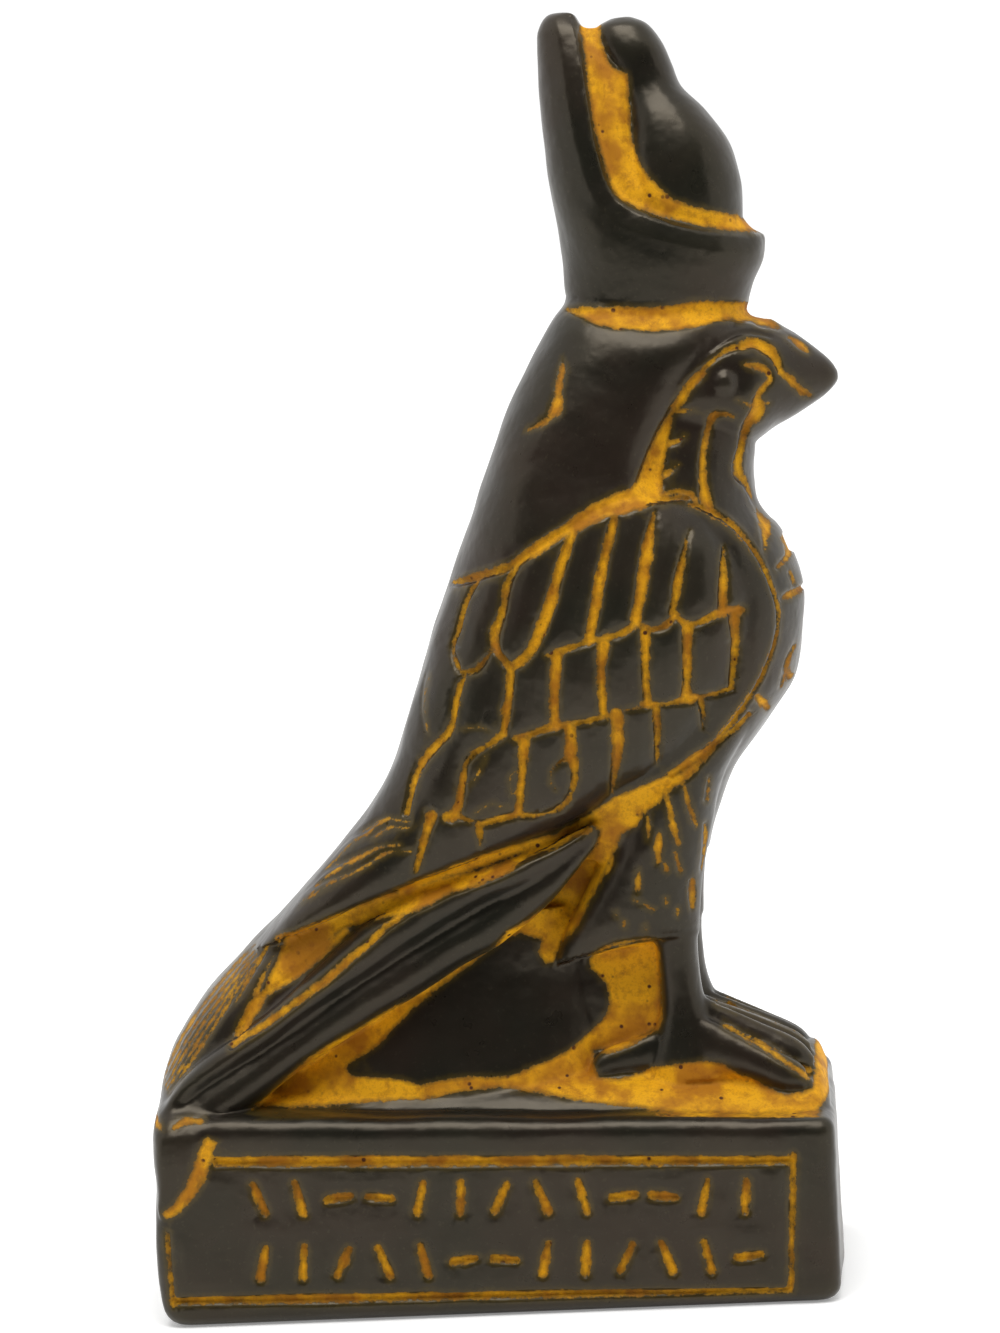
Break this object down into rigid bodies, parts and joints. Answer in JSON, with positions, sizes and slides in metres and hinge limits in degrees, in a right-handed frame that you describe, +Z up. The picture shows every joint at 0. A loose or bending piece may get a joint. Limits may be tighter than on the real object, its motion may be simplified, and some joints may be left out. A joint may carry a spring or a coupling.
{
  "type": "horus falcon figure",
  "caption": "Cast stone-resin falcon wearing a double crown, wings folded, standing on an oblong plinth with a carved band, its recesses rubbed with ochre.",
  "frame": {"origin": "middle of the plinth's underside, on the surface that the figure stands on", "axes": "+X the way the falcon looks, along the plinth's length; +Y the falcon's left; +Z up"},
  "size_m": [0.0905, 0.0414, 0.1589],
  "materials": {
    "black_cast_stone": "waxed satin black cast stone with ochre paint in the recesses"
  },
  "bodies": {
    "root": {"falcon_figure": "black_cast_stone"}
  },
  "joints": []
}
